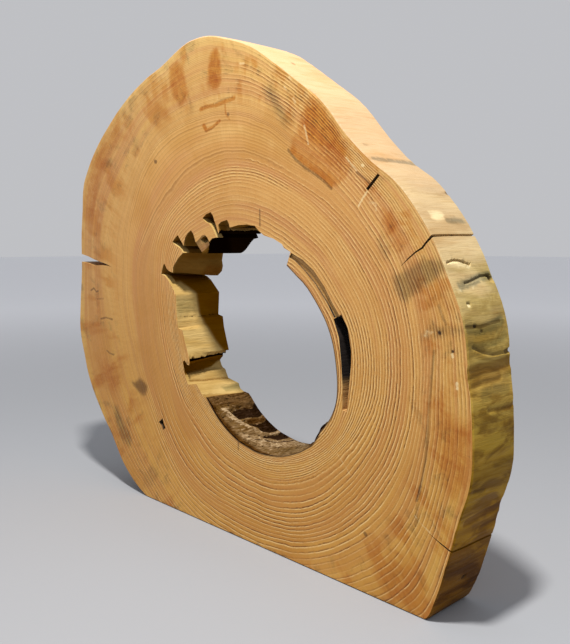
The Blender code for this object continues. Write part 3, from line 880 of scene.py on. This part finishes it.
# Materials

def colour(r, g, b):
    """Linear colour from a colour as seen, 0 to 255."""
    def line(c):
        c /= 255.0
        return c / 12.92 if c <= 0.04045 else ((c + 0.055) / 1.055) ** 2.4
    return (line(r), line(g), line(b), 1.0)


FACE_TONES = [
    (0.45, (215, 163, 93)), (0.55, (213, 159, 90)), (0.66, (213, 159, 89)),
    (0.735, (202, 144, 79)), (0.78, (214, 160, 90)), (0.86, (217, 165, 93)),
    (0.93, (213, 162, 89)), (1.0, (220, 174, 103)),
]
# Tones of the rim by height, from the foot to the top: partly the wood's own colour, partly
# painted shade, darker and more olive towards the floor
RIM_TONES = [
    (0.05, (118, 78, 14)), (0.15, (166, 122, 22)), (0.27, (162, 128, 30)), (0.4, (198, 166, 80)),
    (0.5, (184, 160, 98)), (0.56, (206, 182, 134)), (0.68, (184, 158, 120)),
    (1.0, (212, 170, 128)),
]
TAN_PINK = colour(198, 137, 82)
TAN_PALE = colour(227, 181, 110)
TAN_DEEP = colour(194, 135, 62)
EARLY = colour(239, 197, 128)
TINT_LATE = (0.4, 0.32, 0.24, 1.0)
TINT_ORANGE = (0.78, 0.54, 0.22, 1.0)
TINT_GREY = (0.5, 0.54, 0.55, 1.0)
TINT_BROWN = (0.32, 0.28, 0.22, 1.0)
TINT_DARK = (0.1, 0.08, 0.07, 1.0)


def put(tree, kind, inputs=(), **settings):
    """Adds a node. The inputs go from a socket's name or number to a value or an output."""
    node = tree.nodes.new(kind)
    for key, value in settings.items():
        setattr(node, key, value)
    for key, value in dict(inputs).items():
        socket = node.inputs[key]
        if isinstance(value, bpy.types.NodeSocket):
            tree.links.new(value, socket)
        else:
            socket.default_value = value
    return node


def maths(tree, operation, a, b=0.0, c=0.0, clamp=False):
    inputs = {0: a, 1: b} if operation != "MULTIPLY_ADD" else {0: a, 1: b, 2: c}
    return put(tree, "ShaderNodeMath", inputs, operation=operation, use_clamp=clamp).outputs[0]


def product(tree, a, b, clamp=False):
    return maths(tree, "MULTIPLY", a, b, clamp=clamp)


def blend(tree, share, a, b, mode="MIX"):
    node = put(
        tree, "ShaderNodeMix", {0: share, 6: a, 7: b}, data_type="RGBA", blend_type=mode,
    )
    return node.outputs[2]


def dye(tree, share, look, tone):
    """Multiplies a colour by a tone, as far as the share says."""
    return blend(tree, share, look, tone, "MULTIPLY")


def between(tree, value, low, high, to_low=0.0, to_high=1.0):
    node = put(
        tree, "ShaderNodeMapRange", {0: value, 1: low, 2: high, 3: to_low, 4: to_high},
        interpolation_type="SMOOTHSTEP",
    )
    return node.outputs[0]


def attribute(tree, name):
    return put(tree, "ShaderNodeAttribute", attribute_name=name).outputs["Fac"]


def place_mm(tree, stretch=(1.0, 1.0, 1.0)):
    """Place on the object in millimetres, with each axis multiplied."""
    place = put(tree, "ShaderNodeTexCoord").outputs["Object"]
    scale = tuple(1000.0 * k for k in stretch)
    return put(
        tree, "ShaderNodeVectorMath", {0: place, 1: scale}, operation="MULTIPLY",
    ).outputs[0]


def grain(tree, along):
    """Place in millimetres for patterns drawn out along the grain."""
    return place_mm(tree, (1.0, along, 1.0))


def cloud(tree, place, scale, detail=2.0, rough=0.5, distort=0.0):
    node = put(
        tree, "ShaderNodeTexNoise",
        {"Vector": place, "Scale": scale, "Detail": detail, "Roughness": rough,
         "Distortion": distort},
    )
    return node.outputs["Fac"]


def round_space(tree, ring, along, across):
    """A place with no seam for patterns that follow the rings or cross them.

    Its first two axes go round the pith and its third goes out with the ring count.
    """
    place = put(
        tree, "ShaderNodeVectorMath", {0: place_mm(tree), 1: (PITH[0], 0.0, PITH[1])},
        operation="SUBTRACT",
    ).outputs[0]
    flat = put(
        tree, "ShaderNodeVectorMath", {0: place, 1: (1.0, 0.0, 1.0)}, operation="MULTIPLY",
    ).outputs[0]
    unit = put(tree, "ShaderNodeVectorMath", {0: flat}, operation="NORMALIZE").outputs[0]
    parts = put(tree, "ShaderNodeSeparateXYZ", {0: unit})
    return put(
        tree, "ShaderNodeCombineXYZ",
        {0: product(tree, parts.outputs["X"], along),
         1: product(tree, parts.outputs["Z"], along),
         2: product(tree, ring, across)},
    ).outputs[0]


def centred(tree, value, size):
    """A pattern of 0 to 1 turned into one of minus half to plus half the size."""
    return maths(tree, "MULTIPLY_ADD", value, size, -size / 2)


def ring_lines(tree, times=1.0):
    """Late wood and early wood of each ring, and the ring's own random number."""
    place = place_mm(tree)
    moved = attribute(tree, "ring")
    full = attribute(tree, "width")
    for scale, size in ((0.022, 3.2), (0.09, 1.1), (0.45, 0.34)):
        shift = centred(tree, cloud(tree, place, scale, 1.0), size)
        moved = maths(tree, "ADD", moved, maths(tree, "DIVIDE", shift, full))
    count = product(tree, moved, times)
    part = maths(tree, "FRACT", count)
    own = put(
        tree, "ShaderNodeTexWhiteNoise", {"W": maths(tree, "FLOOR", count)},
        noise_dimensions="1D",
    )
    width = maths(tree, "DIVIDE", full, times)
    after = product(tree, part, width)
    before = maths(tree, "SUBTRACT", width, after)
    late = product(tree, between(tree, before, 1.5, 0.35), between(tree, before, 0.0, 0.2))
    early = between(tree, after, 0.0, 1.1, 1.0, 0.0)
    return moved, late, early, own.outputs["Value"]


def new_material(name):
    made = bpy.data.materials.new(name)
    made.use_nodes = True
    tree = made.node_tree
    return made, tree, tree.nodes["Principled BSDF"]


def finish(tree, shader, look, rough, height, depth):
    tree.links.new(look, shader.inputs["Base Color"])
    tree.links.new(rough, shader.inputs["Roughness"])
    bump = put(tree, "ShaderNodeBump", {"Height": height, "Strength": 1.0, "Distance": depth})
    tree.links.new(bump.outputs["Normal"], shader.inputs["Normal"])


def tint_by_mark(tree, look, name, tint, broken, low=0.3, high=0.62, cover=False):
    """Tints a colour with a mark of one kind, with its edge broken by a pattern."""
    mark = attribute(tree, name)
    amount = between(tree, maths(tree, "ADD", mark, broken), low, high)
    amount = product(tree, amount, mark, clamp=True)
    return blend(tree, amount, look, tint, "MIX" if cover else "MULTIPLY")


def ragged_tint_by_mark(tree, look, name, tint, broken, cover=False):
    """As stain, but with a crisp and ragged edge."""
    mark = attribute(tree, name)
    amount = between(tree, maths(tree, "ADD", mark, broken), 0.42, 0.58)
    amount = product(tree, amount, between(tree, mark, 0.0, 0.3))
    return blend(tree, amount, look, tint, "MIX" if cover else "MULTIPLY")


def ramp(tree, value, table):
    node = put(tree, "ShaderNodeValToRGB", {0: value})
    stops = node.color_ramp.elements
    stops[0].position, stops[0].color = table[0][0], colour(*table[0][1])
    stops[1].position, stops[1].color = table[-1][0], colour(*table[-1][1])
    for at, tone in table[1:-1]:
        stops.new(at).color = colour(*tone)
    return node.outputs["Color"]


def face_material():
    made, tree, shader = new_material("sawn_face")
    ring, late, early, own = ring_lines(tree)
    place = place_mm(tree)
    look = ramp(tree, maths(tree, "DIVIDE", ring, 80.0), FACE_TONES)
    sap = between(tree, ring, 64.0, 69.0)

    # broad bands of a few rings, and patches
    band = cloud(tree, round_space(tree, ring, 0.5, 0.3), 1.0, 2.0, 0.6)
    look = blend(tree, between(tree, band, 0.42, 0.62, 0.0, 0.75), look, TAN_PINK)
    band = cloud(tree, round_space(tree, ring, 1.2, 0.55), 1.3, 2.0, 0.6)
    look = blend(tree, between(tree, band, 0.5, 0.72, 0.0, 0.45), look, TAN_PALE)
    patch = cloud(tree, place, 0.018, 3.0, 0.6)
    look = blend(tree, between(tree, patch, 0.48, 0.72, 0.0, 0.7), look, TAN_DEEP)

    height = put(tree, "ShaderNodeSeparateXYZ", {0: place}).outputs["Z"]
    moved = maths(tree, "ADD", height, centred(tree, patch, 120.0))
    # painted shade and light: the face is darker and yellower towards the bottom, which lies more
    # in shade, and lighter and less yellow towards the top, near the lamp
    look = dye(tree, between(tree, moved, 255.0, 50.0), look, (0.94, 0.89, 0.57, 1.0))
    look = dye(tree, between(tree, moved, 270.0, 390.0), look, (1.05, 1.15, 1.2, 1.0))

    # smears across the rings in the sapwood
    smear = cloud(tree, round_space(tree, ring, 9.0, 0.09), 1.0, 3.0, 0.6, 0.2)
    amount = product(tree, between(tree, smear, 0.49, 0.65, 0.0, 0.8), sap)
    look = dye(tree, amount, look, TINT_ORANGE)
    mould = cloud(tree, round_space(tree, ring, 14.0, 0.25), 1.0, 4.0, 0.65, 0.3)
    amount = product(tree, between(tree, mould, 0.53, 0.72, 0.0, 0.65), sap)
    look = dye(tree, amount, look, TINT_GREY)
    dirt = maths(tree, "ADD", amount, attribute(tree, "grey"), clamp=True)
    look = dye(tree, product(tree, dirt, late), look, (0.62, 0.55, 0.46, 1.0))
    ray = cloud(tree, round_space(tree, ring, 85.0, 0.35), 1.0, 2.0, 0.5)
    look = blend(tree, between(tree, ray, 0.35, 0.7, 0.0, 0.22), look, TAN_DEEP)

    # the rings, strong in some places and faint in others
    group = cloud(tree, round_space(tree, ring, 1.6, 0.34), 1.0, 2.0, 0.6)
    strong = between(tree, group, 0.36, 0.62, 0.3, 1.0)
    dashes = cloud(tree, round_space(tree, ring, 34.0, 0.9), 1.0, 2.0, 0.6)
    strong = product(tree, strong, between(tree, dashes, 0.35, 0.6, 0.45, 1.1))
    strong = product(tree, strong, between(tree, moved, 130.0, 300.0, 1.6, 1.1))
    sapwood = product(tree, sap, between(tree, moved, 230.0, 330.0, -0.42, 0.2))
    strong = product(tree, strong, maths(tree, "ADD", sapwood, 1.0))
    width = attribute(tree, "width")
    upper = between(tree, height, 50.0, 120.0)
    thin = product(tree, between(tree, width, 2.3, 4.2), upper)
    strong = product(tree, strong, maths(tree, "MULTIPLY_ADD", thin, -0.88, 1.0))
    own = maths(tree, "MULTIPLY_ADD", own, 0.45, 0.45)
    line = product(tree, late, product(tree, own, strong), clamp=True)
    look = dye(tree, line, look, TINT_LATE)
    amount = product(tree, early, product(tree, strong, 0.9), clamp=True)
    look = blend(tree, amount, look, EARLY)
    _, late_2, early_2, own_2 = ring_lines(tree, 3.0)
    wide = product(tree, between(tree, width, 2.6, 4.4, 0.0, 0.75), upper)
    own_2 = product(tree, maths(tree, "MULTIPLY_ADD", own_2, 0.35, 0.2), wide)
    look = dye(tree, product(tree, late_2, own_2), look, TINT_LATE)
    look = blend(tree, product(tree, early_2, product(tree, own_2, 0.5)), look,
                 EARLY)

    broken = centred(tree, cloud(tree, place, 0.16, 4.0, 0.65), 0.9)
    banded = centred(tree, cloud(tree, round_space(tree, ring, 8.0, 1.0), 1.0, 3.0, 0.6), 1.6)
    fine = centred(tree, cloud(tree, place, 0.7, 3.0, 0.6), 1.0)
    broken = maths(tree, "ADD", broken, fine)
    ragged = maths(tree, "ADD", broken, banded)
    look = tint_by_mark(tree, look, "orange", TINT_ORANGE, ragged, -0.1, 0.75)
    swirl = cloud(tree, place, 0.075, 3.0, 0.55, 2.5)
    amount = product(tree, between(tree, swirl, 0.45, 0.6), attribute(tree, "orange"))
    look = dye(tree, product(tree, amount, 0.55), look, (0.8, 0.62, 0.38, 1.0))
    look = tint_by_mark(tree, look, "grey", TINT_GREY, ragged, 0.0, 0.9)
    look = tint_by_mark(tree, look, "brown", TINT_BROWN, broken, 0.1, 0.8)
    look = tint_by_mark(tree, look, "dark", TINT_DARK, broken, 0.0, 0.6)
    look = tint_by_mark(tree, look, "pale", colour(240, 212, 156), broken, 0.2, 0.8, True)
    rough = between(tree, cloud(tree, place, 0.5, 3.0), 0.3, 0.7, 0.42, 0.6)
    relief = maths(tree, "MULTIPLY_ADD", line, 0.6, cloud(tree, place, 2.2, 2.0))
    finish(tree, shader, look, rough, relief, 0.0001)
    shader.inputs["Specular IOR Level"].default_value = 0.3
    return made


def rim_material():
    made, tree, shader = new_material("bare_rim")
    place = place_mm(tree)
    height = put(tree, "ShaderNodeSeparateXYZ", {0: place}).outputs["Z"]
    wide = cloud(tree, grain(tree, 0.3), 0.035, 3.0, 0.55, 0.4)
    mid = cloud(tree, grain(tree, 0.35), 0.075, 4.0, 0.6, 0.8)
    fine = cloud(tree, grain(tree, 0.08), 0.42, 3.0, 0.6)
    hair = cloud(tree, grain(tree, 0.03), 1.9, 2.0)
    moved = maths(tree, "ADD", height, centred(tree, wide, 110.0))
    # the rim's tone by height, with painted shade towards the floor
    look = ramp(tree, maths(tree, "DIVIDE", moved, 400.0), RIM_TONES)
    low = between(tree, moved, 260.0, 130.0, 0.1, 1.0)
    amount = product(tree, between(tree, mid, 0.42, 0.62), low)
    look = dye(tree, amount, look, (0.5, 0.42, 0.24, 1.0))
    look = dye(tree, between(tree, wide, 0.5, 0.7, 0.0, 0.6), look, (0.82, 0.66, 0.42, 1.0))
    look = dye(tree, between(tree, fine, 0.45, 0.75, 0.0, 0.34), look, (0.74, 0.6, 0.4, 1.0))
    look = dye(tree, between(tree, hair, 0.45, 0.8, 0.0, 0.35), look, (0.8, 0.7, 0.55, 1.0))
    broken = centred(tree, fine, 1.1)
    look = tint_by_mark(tree, look, "grey", (0.45, 0.52, 0.6, 1.0), broken, 0.0, 0.7)
    look = tint_by_mark(tree, look, "orange", (0.85, 0.62, 0.4, 1.0), broken, 0.0, 0.7)
    look = tint_by_mark(tree, look, "brown", (0.5, 0.4, 0.24, 1.0), broken, 0.0, 0.8)
    look = tint_by_mark(tree, look, "dark", (0.14, 0.1, 0.06, 1.0), broken, 0.0, 0.6)
    look = tint_by_mark(tree, look, "pale", colour(244, 226, 176), broken, 0.2, 0.6, True)
    rough = between(tree, fine, 0.3, 0.7, 0.45, 0.68)
    relief = maths(tree, "MULTIPLY_ADD", hair, 0.4, fine)
    finish(tree, shader, look, rough, relief, 0.0003)
    shader.inputs["Specular IOR Level"].default_value = 0.1
    return made


def inner_material():
    made, tree, shader = new_material("split_wood")
    _, late, _, _ = ring_lines(tree)
    long = grain(tree, 0.06)
    streak = cloud(tree, long, 0.6, 3.0, 0.6)
    look = blend(
        tree, between(tree, streak, 0.35, 0.7), colour(206, 160, 96), colour(164, 116, 60),
    )
    look = dye(tree, product(tree, late, 0.4), look, TINT_LATE)
    broken = centred(tree, streak, 0.7)
    for kind, tint in (("brown", TINT_BROWN), ("dark", TINT_DARK)):
        look = tint_by_mark(tree, look, kind, tint, broken, 0.0, 0.5)
    # the black is painted shade deep in the gap and cracks, and dark in the knot pit
    look = blend(tree, attribute(tree, "black"), look, colour(26, 15, 8))
    rough = between(tree, streak, 0.3, 0.7, 0.6, 0.8)
    finish(tree, shader, look, rough, streak, 0.0005)
    return made


def hole_material():
    made, tree, shader = new_material("hollow_wall")
    place = place_mm(tree)
    long = grain(tree, 0.09)
    streak = cloud(tree, long, 0.4, 4.0, 0.6, 0.3)
    broad = cloud(tree, grain(tree, 0.25), 0.07, 3.0, 0.5, 0.5)
    hair = cloud(tree, grain(tree, 0.04), 1.5, 2.0)
    fresh = blend(
        tree, between(tree, broad, 0.35, 0.65), colour(194, 164, 104), colour(176, 143, 82),
    )
    fresh = blend(tree, between(tree, streak, 0.5, 0.75, 0.0, 0.4), fresh, colour(158, 122, 62))
    fresh = blend(tree, between(tree, hair, 0.5, 0.8, 0.0, 0.3), fresh, colour(176, 136, 72))

    # crumbled wood, with fibres along the grain and specks
    crumb = cloud(tree, grain(tree, 0.45), 0.42, 5.0, 0.7, 0.6)
    fibre = cloud(tree, grain(tree, 0.16), 0.7, 4.0, 0.65, 0.4)
    rotten = blend(
        tree, between(tree, broad, 0.36, 0.62), colour(98, 70, 30), colour(124, 98, 64),
    )
    rotten = blend(tree, between(tree, crumb, 0.52, 0.66), rotten, colour(160, 132, 98))
    rotten = blend(tree, between(tree, fibre, 0.5, 0.62, 0.0, 0.8), rotten, colour(72, 47, 16))
    rotten = blend(tree, between(tree, crumb, 0.44, 0.34), rotten, colour(32, 19, 7))
    edge = centred(tree, cloud(tree, place, 0.12, 3.0), 0.3)
    decay = between(tree, maths(tree, "ADD", attribute(tree, "decay"), edge), 0.35, 0.65)
    look = blend(tree, decay, fresh, rotten)

    broken = centred(tree, cloud(tree, grain(tree, 0.5), 0.4, 4.0, 0.65), 1.2)
    look = tint_by_mark(tree, look, "orange", (0.8, 0.5, 0.25, 1.0), broken, 0.0, 0.6)
    look = tint_by_mark(tree, look, "grey", (0.55, 0.62, 0.62, 1.0), broken, 0.0, 0.7)
    crisp = centred(tree, cloud(tree, grain(tree, 0.4), 0.55, 5.0, 0.7), 2.2)
    tone = blend(tree, between(tree, crumb, 0.4, 0.6), colour(138, 112, 80), colour(180, 154, 118))
    look = ragged_tint_by_mark(tree, look, "pale", tone, crisp, True)
    # the brown marks are painted shade on the left wall, under the top and in the notches, and
    # real brown on the floor
    look = tint_by_mark(tree, look, "brown", (0.33, 0.19, 0.008, 1.0), broken, 0.0, 0.5)
    # the dark marks are painted shade under the torn lip and on the underside, and dark wood on
    # the floor
    deep = blend(tree, decay, (0.018, 0.01, 0.003, 1.0), (0.13, 0.1, 0.1, 1.0))
    look = ragged_tint_by_mark(tree, look, "dark", deep, product(tree, crisp, 0.6))
    # the black is partly painted shade, on the right wall and high in the gap
    look = blend(tree, attribute(tree, "black"), look, colour(26, 17, 9))
    rough = between(tree, streak, 0.3, 0.7, 0.65, 0.9)
    relief = maths(tree, "MULTIPLY_ADD", crumb, product(tree, decay, 1.5), streak)
    finish(tree, shader, look, rough, relief, 0.0008)
    shader.inputs["Specular IOR Level"].default_value = 0.0
    return made


make_camera()
make_stage()
piece = make_slice()
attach(piece, "root")
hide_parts("wood_slice")
